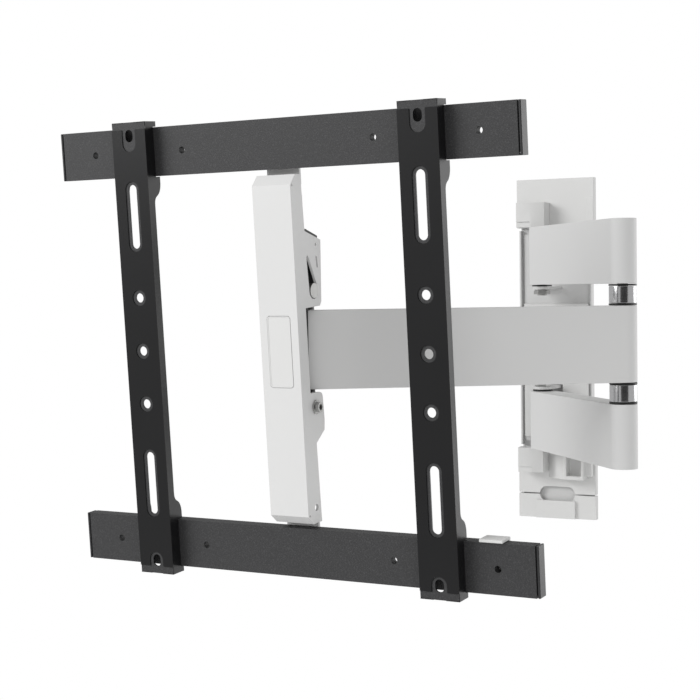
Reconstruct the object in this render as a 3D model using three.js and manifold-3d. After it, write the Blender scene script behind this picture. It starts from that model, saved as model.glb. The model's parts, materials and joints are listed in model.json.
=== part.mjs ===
// Full motion television wall mount. Millimetres, +Z up.
// The wall is the plane Y = 0 and the television faces -Y. The origin is the middle of the
// wall plate's back. Two short arms swing on the wall plate, one long arm swings on their
// outer end, and a tilting head on the long arm carries two bars with sliding bracket arms.
import * as THREE from "three";
import { mergeVertices } from "three/addons/utils/BufferGeometryUtils.js";
import Module from "manifold-3d";

// Driving dimensions
const GAP = 0.3;

const PIVOT_X = -5;
const PIVOT_Y = -36;
const ARMS_Z = 13;
const FIRST_ARM_LENGTH = 205;
const LONG_ARM_LENGTH = 300;
const ARM_RADIUS = 13.2;
const LONG_ARM_HALF = 36;
const SPACER_HEIGHT = 20.5;
const SHORT_ARM_HEIGHT = 61;
const ARM_WALL = 2.6;
const CAP_THICKNESS = 1.6;

const FIRST_ARM_ANGLE = -48.5;
const ELBOW_ANGLE = -97.2;
const HEAD_ANGLE = 142.7;
const HEAD_TILT = 4.5;
const PLATE_FORWARD = 46;
const PLATE_DROP = 1;

const WALL_HALF_WIDTH = 40.5;
const WALL_SHEET = 2.5;
const COVER_HALF_WIDTH = 43.5;
const COVER_FRONT = -8;
const COVER_TOP = 183;
const COVER_BOTTOM = -183;
const UPPER_COVER_Z = 131;
const LOWER_COVER_Z = -107;
const SPLIT_Z = -157;

const HEAD_HALF_WIDTH = 20;
const HEAD_FRONT = 4;
const HEAD_BACK = 24;
const HEAD_SHEET = 2.5;
const HEAD_HALF_HEIGHT = 157;
const TILT_PIN = [34.4, 52.2];
const TIE_BOLT = [26.8, -52.3];

const BAR_ENDS = [-241, 238];
const BAR_INNER_Z = 162;
const BAR_HEIGHT = 45;
const BAR_FRONT = 13;
const BAR_DEPTH = 12;
const BAR_SHEET = 2.2;
const BAR_CAP = 2.2;
const BAR_SEAM = 1.2;

const VESA_HALF_SPACING = 150;
const VESA_HALF_LENGTH = 212.5;
const VESA_HALF_WIDTH = 19;
const VESA_SHEET = 2.5;

const rad = THREE.MathUtils.degToRad;

// Finishes
const finish = (color, roughness, metalness) =>
  new THREE.MeshStandardMaterial({ color, roughness, metalness });
const LIGHT_PAINT = finish(0xd9d9d8, 0.5, 0.1);
const LIGHT_PLASTIC = finish(0xd6d6d4, 0.55, 0);
const DARK_PAINT = finish(0x2c2c2d, 0.45, 0.2);
const BLACK_PAINT = finish(0x19191a, 0.4, 0.2);
const BLACK_PLASTIC = finish(0x141414, 0.5, 0);
const CHROME = finish(0xdadada, 0.12, 1);
const ZINC = finish(0xb9bab8, 0.35, 0.9);
const NYLON = finish(0xe6e4dc, 0.5, 0);

// Solids
const wasm = await Module();
wasm.setup();

function solid(geometry) {
  const bare = geometry.index ? geometry.toNonIndexed() : geometry.clone();
  bare.deleteAttribute("normal");
  bare.deleteAttribute("uv");
  const merged = mergeVertices(bare, 1e-4);
  const vertProperties = Float32Array.from(merged.attributes.position.array);
  const triVerts = Uint32Array.from(merged.index.array);
  return new wasm.Manifold(new wasm.Mesh({ numProp: 3, vertProperties, triVerts }));
}

function piece(name, body, material) {
  const { vertProperties, triVerts } = body.getMesh();
  const geometry = new THREE.BufferGeometry();
  geometry.setAttribute("position", new THREE.BufferAttribute(vertProperties, 3));
  geometry.setIndex(new THREE.BufferAttribute(triVerts, 1));
  geometry.computeVertexNormals();
  const mesh = new THREE.Mesh(geometry, material);
  mesh.name = name;
  return mesh;
}

const join = (first, ...rest) => rest.reduce((sum, next) => sum.add(next), first);
const ordered = (side, a, b) => [side * a, side * b].sort((low, high) => low - high);
const cut = (first, ...rest) => rest.reduce((left, next) => left.subtract(next), first);

function group(x, y, z, turnX, turnZ, ...children) {
  const frame = new THREE.Group();
  frame.position.set(x, y, z);
  frame.rotation.set(rad(turnX), 0, rad(turnZ));
  frame.add(...children);
  return frame;
}

function block([x0, x1], [y0, y1], [z0, z1]) {
  const geometry = new THREE.BoxGeometry(x1 - x0, y1 - y0, z1 - z0);
  geometry.translate((x0 + x1) / 2, (y0 + y1) / 2, (z0 + z1) / 2);
  return solid(geometry);
}

// Extrusions: the outline is drawn in the plane that the axis is square to, with its
// second coordinate up, or along +Y for an extrusion along Z.
const AXES = {
  x: [new THREE.Vector3(0, 1, 0), new THREE.Vector3(0, 0, 1), new THREE.Vector3(1, 0, 0)],
  y: [new THREE.Vector3(1, 0, 0), new THREE.Vector3(0, 0, 1), new THREE.Vector3(0, -1, 0)],
  z: [new THREE.Vector3(1, 0, 0), new THREE.Vector3(0, 1, 0), new THREE.Vector3(0, 0, 1)],
};

function extrude(outline, axis, from, to, curveSegments = 6) {
  const settings = { depth: to - from, bevelEnabled: false, curveSegments };
  const geometry = new THREE.ExtrudeGeometry(outline, settings);
  geometry.translate(0, 0, axis === "y" ? -to : from);
  geometry.applyMatrix4(new THREE.Matrix4().makeBasis(...AXES[axis]));
  return solid(geometry);
}

const polygon = (points) => new THREE.Shape(points.map(([u, v]) => new THREE.Vector2(u, v)));

function circle(u, v, radius) {
  const outline = new THREE.Shape();
  outline.absarc(u, v, radius, 0, 2 * Math.PI, false);
  return outline;
}

function hexagon(u, v, acrossFlats) {
  const corner = acrossFlats / Math.sqrt(3);
  const turns = [0, 1, 2, 3, 4, 5].map((n) => (n * Math.PI) / 3);
  return polygon(turns.map((turn) => [u + corner * Math.cos(turn), v + corner * Math.sin(turn)]));
}

function roundedRectangle([u0, u1], [v0, v1], radius) {
  const outline = new THREE.Shape();
  outline.absarc(u1 - radius, v0 + radius, radius, -Math.PI / 2, 0, false);
  outline.absarc(u1 - radius, v1 - radius, radius, 0, Math.PI / 2, false);
  outline.absarc(u0 + radius, v1 - radius, radius, Math.PI / 2, Math.PI, false);
  outline.absarc(u0 + radius, v0 + radius, radius, Math.PI, 1.5 * Math.PI, false);
  return outline;
}

// A bar with round ends of two radii, from (u0, v0) to (u1, v1)
function link([u0, v0], radius0, [u1, v1], radius1) {
  const span = Math.hypot(u1 - u0, v1 - v0);
  const heading = Math.atan2(v1 - v0, u1 - u0);
  const lean = Math.acos((radius0 - radius1) / span);
  const outline = new THREE.Shape();
  outline.absarc(u0, v0, radius0, heading + lean, heading - lean + 2 * Math.PI, false);
  outline.absarc(u1, v1, radius1, heading - lean, heading + lean, false);
  return outline;
}

function rod(radius, z0, z1, x = 0, y = 0, curveSegments = 10) {
  return extrude(circle(x, y, radius), "z", z0, z1, curveSegments);
}

// Wall side

function wallPlate() {
  const inside = [-WALL_SHEET, 0];
  const sheet = block([-WALL_HALF_WIDTH, WALL_HALF_WIDTH], inside, [-180, 180]);
  const flangeInner = WALL_HALF_WIDTH - 2;
  const flangeZ = [LOWER_COVER_Z + 3, UPPER_COVER_Z - 3];
  const flanges = [-1, 1].map((side) =>
    block(ordered(side, flangeInner, WALL_HALF_WIDTH), [-9, -1], flangeZ));
  const slot = extrude(link([-10, 158], 4.5, [10, 158], 4.5), "y", -10, 5);
  const holes = [100, -85].map((z) => extrude(circle(0, z, 4.5), "y", -10, 5));
  return piece("wall_plate", cut(join(sheet, ...flanges), slot, ...holes), LIGHT_PAINT);
}

// A steel channel with two ears, which carry the arms' spindles between the short arms
const EAR_THICKNESS = 3;
const EAR_CLEARANCE = 2;
const EAR_RADIUS = 10;
const INNER_ARM_FACE = LONG_ARM_HALF + SPACER_HEIGHT;
const EAR_FACE = INNER_ARM_FACE - EAR_CLEARANCE;
const SPINDLE_RADIUS = 5;
const NUT_FLATS = 15;
const NUT_HEIGHT = 5;

function hingeBracket() {
  const back = -WALL_SHEET - GAP;
  const web = block([-36, 38], [back - WALL_SHEET, back], [-100, 124]);
  const earOutline = new THREE.Shape();
  earOutline.moveTo(PIVOT_X - 11.5, back - 1);
  earOutline.lineTo(PIVOT_X - EAR_RADIUS, PIVOT_Y);
  earOutline.absarc(PIVOT_X, PIVOT_Y, EAR_RADIUS, Math.PI, 2 * Math.PI, false);
  earOutline.lineTo(PIVOT_X + 11.5, back - 1);
  const ears = [-1, 1].map((side) => {
    const faces = ordered(side, EAR_FACE - EAR_THICKNESS, EAR_FACE).map((z) => z + ARMS_Z);
    return extrude(earOutline, "z", ...faces, 10);
  });
  const bore = rod(SPINDLE_RADIUS + GAP, -90, 110, PIVOT_X, PIVOT_Y);
  const holes = [100, -85].map((z) => extrude(circle(0, z, 6), "y", -10, 5));
  return piece("hinge_bracket", cut(join(web, ...ears), bore, ...holes), LIGHT_PAINT);
}

// A spindle stands on each ear and reaches into its short arm; a nut holds it on the ear
function wallPivot(name, side) {
  const earBack = EAR_FACE - EAR_THICKNESS;
  const along = (from, to) => ordered(side, from, to).map((z) => z + ARMS_Z);
  const spindle = rod(SPINDLE_RADIUS, ...along(earBack - NUT_HEIGHT - 1.5, INNER_ARM_FACE + 48), PIVOT_X, PIVOT_Y);
  const nutZ = along(earBack - GAP, earBack - NUT_HEIGHT);
  const nut = cut(
    extrude(hexagon(PIVOT_X, PIVOT_Y, NUT_FLATS), "z", ...nutZ),
    rod(SPINDLE_RADIUS + GAP, -90, 110, PIVOT_X, PIVOT_Y));
  const washer = cut(
    rod(10.4, ...along(EAR_FACE + GAP, INNER_ARM_FACE - GAP), PIVOT_X, PIVOT_Y),
    rod(SPINDLE_RADIUS + GAP, -90, 110, PIVOT_X, PIVOT_Y));
  return [
    piece(`wall_spindle_${name}`, spindle, ZINC),
    piece(`wall_spindle_nut_${name}`, nut, ZINC),
    piece(`wall_washer_${name}`, washer, BLACK_PLASTIC),
  ];
}

// Plastic covers: thin shells, open at the back, that slip over the steel plate's ends
function shellBetween(z0, z1, openBottom, openTop) {
  const wall = 2;
  const outer = block([-COVER_HALF_WIDTH, COVER_HALF_WIDTH], [COVER_FRONT, 0], [z0, z1]);
  const hollow = block(
    [-COVER_HALF_WIDTH + wall, COVER_HALF_WIDTH - wall],
    [COVER_FRONT + wall, 1],
    [openBottom ? z0 - 1 : z0 + wall, openTop ? z1 + 1 : z1 - wall]);
  return cut(outer, hollow);
}

function upperCover() {
  const shell = shellBetween(UPPER_COVER_Z, COVER_TOP, true, false);
  const grip = block([36, COVER_HALF_WIDTH], [COVER_FRONT - 1, COVER_FRONT + 1], [UPPER_COVER_Z, 161]);
  return piece("upper_cover", join(shell, grip), LIGHT_PLASTIC);
}

// A lug that stands out from a cover beside the arms' pivot
function coverLug(name, z0, z1, right) {
  const back = COVER_FRONT - GAP;
  const outline = new THREE.Shape();
  outline.moveTo(-36.5, back);
  outline.lineTo(-36.5, -29);
  outline.lineTo(-35.5, -30);
  outline.lineTo(right - 13, -30);
  outline.lineTo(right, -25);
  outline.lineTo(right, back);
  const body = extrude(outline, "z", z0, z1, 8);
  const step = block([-40, -21], [-31, -28.5], [z0 - 1, z0 + 6]);
  return piece(name, cut(body, step), LIGHT_PLASTIC);
}

function centreCover() {
  const outer = block([-34.5, 37.5], [-12, -6], [-95, 49]);
  const hollow = block([-32.5, 35.5], [-10, 0], [-93, 47]);
  const earNotch = block([PIVOT_X - 13.5, PIVOT_X + 13.5], [-20, 0], [-46, -35]);
  return piece("centre_cover", cut(outer, hollow, earNotch), LIGHT_PLASTIC);
}

function lagSlot() {
  return extrude(link([-11.5, SPLIT_Z], 8, [12, SPLIT_Z], 8), "y", -20, 5, 10);
}

function lowerCover() {
  const shell = shellBetween(SPLIT_Z + 0.6, LOWER_COVER_Z, true, true);
  return piece("lower_cover", cut(shell, lagSlot()), LIGHT_PLASTIC);
}

function bottomCover() {
  const shell = shellBetween(COVER_BOTTOM, SPLIT_Z - 0.6, false, true);
  const pad = block([-23, 21], [COVER_FRONT - 3, COVER_FRONT + 1], [COVER_BOTTOM, SPLIT_Z - 6.8]);
  return piece("bottom_cover", join(cut(shell, lagSlot()), pad), LIGHT_PLASTIC);
}

// A box with a sloping side and a pocket in front, below the lower arm
function accessBox() {
  const back = COVER_FRONT - GAP;
  const outline = polygon([
    [-8.8, back], [12.5, -24], [35, -24], [35, back],
  ]);
  const top = LOWER_COVER_Z - 1;
  const body = extrude(outline, "z", -139.2, top);
  const step = block([34, 41.5], [-16, back], [-136, top]);
  const pocket = block([16, 32.3], [-30, -12], [-135, -112]);
  return piece("access_box", cut(join(body, step), pocket), LIGHT_PLASTIC);
}

// Arms: an extruded tube with a bore at each end and a hollow between, and two end covers

function armTube(name, length, z0, z1, bores) {
  const outline = link([0, 0], ARM_RADIUS, [length, 0], ARM_RADIUS);
  const tube = extrude(outline, "z", z0 + CAP_THICKNESS + GAP, z1 - CAP_THICKNESS - GAP, 10);
  const hollow = block(
    [ARM_RADIUS + 2, length - ARM_RADIUS - 2],
    [-ARM_RADIUS + ARM_WALL, ARM_RADIUS - ARM_WALL],
    [z0 - 1, z1 + 1]);
  const ends = bores.map(([x, radius]) => rod(radius, z0 - 1, z1 + 1, x));
  return piece(name, cut(tube, hollow, ...ends), LIGHT_PAINT);
}

function armEnd(name, length, z0, z1, bores) {
  const outline = link([0, 0], ARM_RADIUS, [length, 0], ARM_RADIUS);
  const cover = extrude(outline, "z", z0, z1, 10);
  const ends = bores.map(([x, radius]) => rod(radius, z0 - 1, z1 + 1, x));
  return piece(name, cut(cover, ...ends), LIGHT_PLASTIC);
}

function ring(name, outer, inner, z0, z1, x, material, curveSegments = 10) {
  const body = cut(rod(outer, z0, z1, x, 0, curveSegments), rod(inner, z0 - 1, z1 + 1, x));
  return piece(name, body, material);
}

const BUSH_RADIUS = 9;
const ELBOW_RADIUS = 5;

function shortArm(name, side) {
  const near = INNER_ARM_FACE;
  const far = INNER_ARM_FACE + SHORT_ARM_HEIGHT;
  const z = (a, b) => ordered(side, a, b);
  const bores = [[0, BUSH_RADIUS + GAP], [FIRST_ARM_LENGTH, ELBOW_RADIUS + GAP]];
  const through = [[0, SPINDLE_RADIUS + 2 * GAP], [FIRST_ARM_LENGTH, ELBOW_RADIUS + GAP]];
  const [low, high] = z(near + CAP_THICKNESS + 2 * GAP, near + 50);
  return [
    armTube(`${name}_arm`, FIRST_ARM_LENGTH, ...z(near, far), bores),
    armEnd(`${name}_arm_inner_cover`, FIRST_ARM_LENGTH, ...z(near, near + CAP_THICKNESS), through),
    armEnd(`${name}_arm_outer_cover`, FIRST_ARM_LENGTH, ...z(far - CAP_THICKNESS, far), []),
    ring(`${name}_arm_bush`, BUSH_RADIUS, SPINDLE_RADIUS + GAP, low, high, 0, NYLON),
  ];
}

// Bright spacers with a black washer on each side part the arms at the elbow
function elbowSpacers(name, side) {
  const washer = 2;
  const near = LONG_ARM_HALF;
  const far = near + SPACER_HEIGHT;
  const z = (a, b) => ordered(side, a, b);
  const bore = ELBOW_RADIUS + GAP;
  const at = FIRST_ARM_LENGTH;
  return [
    ring(`elbow_washer_inner_${name}`, ARM_RADIUS, bore, ...z(near + GAP, near + washer), at, BLACK_PLASTIC),
    ring(`elbow_spacer_${name}`, ARM_RADIUS - 0.3, bore,
      ...z(near + washer + GAP, far - washer - GAP), at, CHROME, 16),
    ring(`elbow_washer_outer_${name}`, ARM_RADIUS, bore, ...z(far - washer, far - GAP), at, BLACK_PLASTIC),
  ];
}

function elbowSpindle() {
  const reach = INNER_ARM_FACE + SHORT_ARM_HEIGHT - CAP_THICKNESS - GAP;
  return piece("elbow_spindle", rod(ELBOW_RADIUS, -reach, reach, FIRST_ARM_LENGTH), ZINC);
}

const SWIVEL_RADIUS = 5;

function longArm() {
  const half = LONG_ARM_HALF;
  const bores = [[0, BUSH_RADIUS + GAP], [LONG_ARM_LENGTH, BUSH_RADIUS + GAP]];
  const through = [[0, ELBOW_RADIUS + 2 * GAP], [LONG_ARM_LENGTH, SWIVEL_RADIUS + 2 * GAP]];
  const bush = (name, side, x, radius) => {
    const faces = ordered(side, 6, half - CAP_THICKNESS - 2 * GAP);
    return ring(name, BUSH_RADIUS, radius + GAP, ...faces, x, NYLON);
  };
  return [
    armTube("long_arm", LONG_ARM_LENGTH, -half, half, bores),
    armEnd("long_arm_upper_cover", LONG_ARM_LENGTH, half - CAP_THICKNESS, half, through),
    armEnd("long_arm_lower_cover", LONG_ARM_LENGTH, -half, -half + CAP_THICKNESS, through),
    bush("elbow_bush_upper", 1, 0, ELBOW_RADIUS),
    bush("elbow_bush_lower", -1, 0, ELBOW_RADIUS),
    bush("head_bush_upper", 1, LONG_ARM_LENGTH, SWIVEL_RADIUS),
    bush("head_bush_lower", -1, LONG_ARM_LENGTH, SWIVEL_RADIUS),
  ];
}

// Swivel: a C-shaped bracket round the long arm's end, on a vertical pin

// From the television plate's own (y, z) to the swivel bracket's, at the resting tilt
function plateToSwivel([y, z]) {
  const turn = rad(HEAD_TILT);
  return [
    y * Math.cos(turn) - z * Math.sin(turn) - PLATE_FORWARD,
    y * Math.sin(turn) + z * Math.cos(turn) - PLATE_DROP,
  ];
}

const SWIVEL_HALF_WIDTH = 15.5;
const SWIVEL_SHEET = 2.5;
const SWIVEL_WEB_HALF = 12.5;
const SHELF_RADIUS = 9;

function swivelBracket() {
  const wide = [-SWIVEL_HALF_WIDTH, SWIVEL_HALF_WIDTH];
  const webWidth = [-SWIVEL_WEB_HALF, SWIVEL_WEB_HALF];
  const front = -ARM_RADIUS - 0.8;
  const deck = LONG_ARM_HALF + 2;
  const web = block(webWidth, [front - SWIVEL_SHEET, front], [-deck - 3, deck + 3]);
  const shelves = [-1, 1].map((side) => {
    const outline = new THREE.Shape();
    outline.moveTo(-SWIVEL_HALF_WIDTH, front - 1);
    outline.lineTo(-SHELF_RADIUS, 0);
    outline.absarc(0, 0, SHELF_RADIUS, Math.PI, 0, true);
    outline.lineTo(SWIVEL_HALF_WIDTH, front - 1);
    return extrude(outline, "z", ...ordered(side, deck, deck + 3), 8);
  });
  const [pinY, pinZ] = plateToSwivel(TILT_PIN);
  const cheekOutline = polygon([
    [-25, deck], [-11, deck], [-5, 50], [-1.5, 100], [-1.5, 103.4], [-22, 109.2], [-25, 107.5],
  ]);
  const cheeks = [-1, 1].map((side) =>
    extrude(cheekOutline, "x", ...ordered(side, SWIVEL_HALF_WIDTH - SWIVEL_SHEET, SWIVEL_HALF_WIDTH)));
  const bridge = extrude(polygon([[-1.5, 103.4], [-22, 109.2], [-22, 106.2], [-1.5, 100.4]]), "x", ...wide);
  const body = join(web, ...shelves, ...cheeks, bridge);
  const pinBore = extrude(circle(pinY, pinZ, 4 + GAP), "x", -20, 20, 12);
  return piece("swivel_bracket", cut(body, pinBore, rod(SWIVEL_RADIUS + GAP, -60, 60)), BLACK_PAINT);
}

function swivelPin() {
  const deck = LONG_ARM_HALF + 5;
  const head = rod(8, deck + GAP, deck + 3.5);
  const tail = rod(7, -deck - 1.6, -deck - GAP);
  const shank = rod(SWIVEL_RADIUS, -deck - 1, deck + 1);
  return piece("swivel_pin", join(shank, head, tail), ZINC);
}

function swivelWashers() {
  const faces = [LONG_ARM_HALF + GAP, LONG_ARM_HALF + 2 - GAP];
  return [
    ring("swivel_washer_upper", SHELF_RADIUS, SWIVEL_RADIUS + GAP, ...faces, 0, BLACK_PLASTIC),
    ring("swivel_washer_lower", SHELF_RADIUS, SWIVEL_RADIUS + GAP, -faces[1], -faces[0], 0, BLACK_PLASTIC),
  ];
}

// Head: a folded channel. Outlines are in the plate's own (y, z), y towards the wall.

const NOTCH_BACK = 19;
const EAR_BOTTOM = 37.8;

function headCheek() {
  const top = HEAD_HALF_HEIGHT;
  const outline = new THREE.Shape();
  outline.moveTo(HEAD_FRONT, 148);
  outline.lineTo(HEAD_FRONT, -149);
  outline.lineTo(13, -top);
  outline.lineTo(27, -top);
  outline.lineTo(HEAD_BACK + 1, -85);
  outline.lineTo(40, -75);
  outline.lineTo(41, -66);
  outline.lineTo(40, -45);
  outline.quadraticCurveTo(39.5, -39.6, 33, -39.6);
  outline.lineTo(NOTCH_BACK, -39);
  outline.lineTo(NOTCH_BACK, EAR_BOTTOM);
  outline.lineTo(43.5, EAR_BOTTOM);
  outline.lineTo(46.5, EAR_BOTTOM + 4);
  outline.lineTo(50.5, 97);
  outline.lineTo(HEAD_BACK, 106.3);
  outline.lineTo(22, top);
  outline.lineTo(13, top);
  return outline;
}

function headChannel() {
  const wide = [-HEAD_HALF_WIDTH, HEAD_HALF_WIDTH];
  const outer = extrude(headCheek(), "x", ...wide);
  const inner = HEAD_HALF_WIDTH - HEAD_SHEET;
  const hollowOutline = polygon([
    [HEAD_FRONT + HEAD_SHEET, 147], [HEAD_FRONT + HEAD_SHEET, -148], [14, -154.5],
    [60, -154.5], [60, 154.5], [14, 154.5],
  ]);
  const hollow = extrude(hollowOutline, "x", -inner, inner);
  const tongueGap = block([-17.3, 17.3], [HEAD_BACK - 9, 60], [-170, 170]);
  const ends = [-1, 1].map((side) =>
    tongueGap.intersect(block([-30, 30], [-10, 70], ordered(side, 150, 170))));
  const badgePocket = extrude(
    roundedRectangle([-12.4, 12.4], [-32.4, 32.4], 3.2), "y", 0, HEAD_FRONT + 1.3);
  const keyhole = extrude(link(TILT_PIN, 7.5, [26.5, 82.5], 1.8), "x", -30, 30, 8);
  const slit = extrude(link([41.5, 81.8], 1.2, [42.5, 73.5], 1.2), "x", 0, 30, 4);
  const dot = extrude(circle(41.5, 93.4, 1.3), "x", 0, 30, 4);
  const tieBore = extrude(circle(...TIE_BOLT, 3 + GAP), "x", -30, 30);
  const endHole = extrude(circle(19, -143, 3.2), "x", 0, 30);
  const reliefs = [[-1, 147.5], [1, 147.5], [-1, -148.5], [1, -148.5]].map(([side, z]) =>
    extrude(circle(7, z, 1.1), "x", ...ordered(side, inner - 1, 30), 4));
  return piece(
    "head_channel",
    cut(outer, hollow, ...ends, badgePocket, keyhole, slit, dot, tieBore, endHole, ...reliefs),
    LIGHT_PAINT);
}

function badge() {
  const outline = roundedRectangle([-12, 12], [-32, 32], 2.8);
  return piece("head_badge", extrude(outline, "y", HEAD_FRONT - 0.3, HEAD_FRONT + 1), LIGHT_PLASTIC);
}

function tiltPin() {
  const inner = HEAD_HALF_WIDTH - HEAD_SHEET;
  const shank = extrude(circle(...TILT_PIN, 4), "x", -inner, inner, 12);
  const discs = [-1, 1].map((side) =>
    extrude(circle(...TILT_PIN, 6.9), "x", ...ordered(side, inner - 1.5, HEAD_HALF_WIDTH + 0.8), 16));
  return piece("tilt_pin", join(shank, ...discs), ZINC);
}

function tieBolt() {
  const face = HEAD_HALF_WIDTH + GAP;
  const shank = extrude(circle(...TIE_BOLT, 3), "x", -face - 6, face + 1);
  const flange = extrude(circle(...TIE_BOLT, 6.4), "x", face, face + 1.4, 12);
  const head = extrude(circle(...TIE_BOLT, 4.8), "x", face + 1, face + 5, 10);
  const socket = extrude(hexagon(...TIE_BOLT, 5), "x", face + 2, face + 9);
  const nut = cut(
    extrude(hexagon(...TIE_BOLT, 10), "x", -face - 5, -face),
    extrude(circle(...TIE_BOLT, 3 + GAP), "x", -face - 9, -face + 9));
  const inner = HEAD_HALF_WIDTH - HEAD_SHEET - GAP;
  const tube = cut(
    extrude(circle(...TIE_BOLT, 5), "x", -inner, inner, 8),
    extrude(circle(...TIE_BOLT, 3 + GAP), "x", -30, 30));
  return [
    piece("tie_bolt", cut(join(shank, flange, head), socket), ZINC),
    piece("tie_nut", nut, ZINC),
    piece("tie_tube", tube, ZINC),
  ];
}

// Steel tongues fasten the bars to the head's ends
function barTongue(name, side) {
  const back = BAR_FRONT + BAR_DEPTH + GAP;
  const plate = block([-17, 17], [back, back + 3], ordered(side, 122, 203));
  const tabs = [-1, 1].map((end) =>
    block(ordered(end, 14.2, 17), [15, back + 1], ordered(side, 122, 153)));
  const notch = block([11, 18], [14, 30], ordered(side, 138.5, 147.5));
  return piece(name, cut(join(plate, ...tabs), notch), LIGHT_PAINT);
}

// Bars: channels open at the back, with a plastic cap on each end
const BAR_HOLES = [-200, -150, -100, 100, 150, 200];

const barZ = (side) => ordered(side, BAR_INNER_Z, BAR_INNER_Z + BAR_HEIGHT);

function bar(name, side) {
  const inset = BAR_CAP + BAR_SEAM;
  const [left, right] = [BAR_ENDS[0] + inset, BAR_ENDS[1] - inset];
  const [low, high] = barZ(side);
  const outer = block([left, right], [BAR_FRONT, BAR_FRONT + BAR_DEPTH], [low, high]);
  const hollow = block(
    [left - 1, right + 1],
    [BAR_FRONT + BAR_SHEET, 60],
    [low + BAR_SHEET, high - BAR_SHEET]);
  const holes = BAR_HOLES.map((x) => extrude(circle(x, (low + high) / 2, 3.2), "y", 0, 40, 4));
  return piece(name, cut(outer, hollow, ...holes), DARK_PAINT);
}

function barCap(name, side, end) {
  const [low, high] = barZ(side);
  const tip = end * (end < 0 ? BAR_ENDS[0] : BAR_ENDS[1]);
  const face = block(
    ordered(end, tip - BAR_CAP, tip), [BAR_FRONT, BAR_FRONT + BAR_DEPTH], [low, high]);
  const inset = BAR_SHEET + GAP;
  const plug = block(
    ordered(end, tip - BAR_CAP - 9, tip - BAR_CAP + 1),
    [BAR_FRONT + inset, BAR_FRONT + BAR_DEPTH],
    [low + inset, high - inset]);
  return piece(name, join(face, plug), DARK_PAINT);
}

// A plastic clip on the lower bar guides the cable
function cableClip() {
  const top = -BAR_INNER_Z;
  const outline = polygon([
    [11, top + GAP], [BAR_FRONT + BAR_DEPTH + GAP, top + GAP], [BAR_FRONT + BAR_DEPTH + GAP, top - 34],
    [40, top - 34], [40, top - 20], [37.5, top - 20], [37.5, top - 31.5], [28, top - 31.5],
    [28, top + 3], [11, top + 3],
  ]);
  return piece("cable_clip", extrude(outline, "x", 184, 206), LIGHT_PLASTIC);
}

// Bracket arms: folded channels that hook over both bars

function vesaFlange() {
  const end = VESA_HALF_LENGTH;
  const lip = BAR_INNER_Z + BAR_HEIGHT + 0.6;
  const ear = BAR_INNER_Z - 0.6;
  const outline = new THREE.Shape();
  outline.moveTo(0, -end);
  outline.lineTo(17, -end);
  outline.lineTo(17, -lip);
  outline.lineTo(BAR_FRONT - GAP, -lip);
  outline.lineTo(BAR_FRONT - GAP, -ear);
  outline.lineTo(19, -ear);
  outline.lineTo(19, -155);
  outline.quadraticCurveTo(18.5, -146.5, 12.5, -143.5);
  outline.quadraticCurveTo(9, -141.5, 9, -136);
  outline.lineTo(9, 136);
  outline.quadraticCurveTo(9, 141.5, 12.5, 143.5);
  outline.quadraticCurveTo(18.5, 146.5, 19, 155);
  outline.lineTo(19, ear);
  outline.lineTo(BAR_FRONT - GAP, ear);
  outline.lineTo(BAR_FRONT - GAP, lip);
  outline.lineTo(17, lip);
  outline.lineTo(17, end);
  outline.lineTo(0, end);
  return outline;
}

// Round holes, slots and end holes sit in shallow dishes in the front face
const DISH_DEPTH = 0.9;
const DISH_RADIUS = 7.5;
const ROUND_HOLES = [-50, 0, 50];
const SLOTS = [-125.5, 125.5];
const END_STEP = 205.5;

function vesaHoles() {
  const through = [-5, 40];
  return [
    ...ROUND_HOLES.map((z) => extrude(circle(0, z, 4.4), "y", ...through)),
    ...SLOTS.map((z) => extrude(link([0, z - 25], 4.6, [0, z + 25], 4.6), "y", ...through)),
    ...[-200, 200].map((z) => extrude(link([0, z - 1.5], 4.2, [0, z + 1.5], 4.2), "y", ...through)),
  ];
}

function vesaDishes() {
  const shallow = [-5, DISH_DEPTH];
  const wide = [-VESA_HALF_WIDTH - 1, VESA_HALF_WIDTH + 1];
  return [
    ...ROUND_HOLES.map((z) => extrude(circle(0, z, DISH_RADIUS), "y", ...shallow)),
    ...SLOTS.map((z) =>
      extrude(link([0, z - 25], DISH_RADIUS, [0, z + 25], DISH_RADIUS), "y", ...shallow)),
    extrude(link([0, 193], DISH_RADIUS, [0, 230], DISH_RADIUS), "y", ...shallow, 8),
    extrude(link([0, -230], DISH_RADIUS, [0, -199.5], DISH_RADIUS), "y", ...shallow, 8),
    block(wide, shallow, [END_STEP, 230]),
    block(wide, shallow, [-230, -END_STEP]),
  ];
}

function vesaArm(name, side) {
  const half = VESA_HALF_WIDTH;
  const outer = extrude(vesaFlange(), "x", -half, half);
  const hollow = block(
    [-half + VESA_SHEET, half - VESA_SHEET], [VESA_SHEET, 40], [-300, 300]);
  const mesh = piece(name, cut(outer, hollow, ...vesaHoles(), ...vesaDishes()), BLACK_PAINT);
  mesh.position.x = side * VESA_HALF_SPACING;
  return mesh;
}

// Assembly: each arm's group starts at the pivot that it turns on

const television = group(0, -PLATE_FORWARD, -PLATE_DROP, HEAD_TILT, 0,
  headChannel(),
  badge(),
  tiltPin(),
  ...tieBolt(),
  barTongue("bar_tongue_top", 1),
  barTongue("bar_tongue_bottom", -1),
  bar("top_bar", 1),
  bar("bottom_bar", -1),
  barCap("top_bar_cap_left", 1, -1),
  barCap("top_bar_cap_right", 1, 1),
  barCap("bottom_bar_cap_left", -1, -1),
  barCap("bottom_bar_cap_right", -1, 1),
  cableClip(),
  vesaArm("bracket_arm_left", -1),
  vesaArm("bracket_arm_right", 1));

const swivel = group(LONG_ARM_LENGTH, 0, 0, 0, HEAD_ANGLE,
  swivelBracket(),
  swivelPin(),
  ...swivelWashers(),
  television);

const longArmGroup = group(FIRST_ARM_LENGTH, 0, 0, 0, ELBOW_ANGLE, ...longArm(), swivel);

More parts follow.
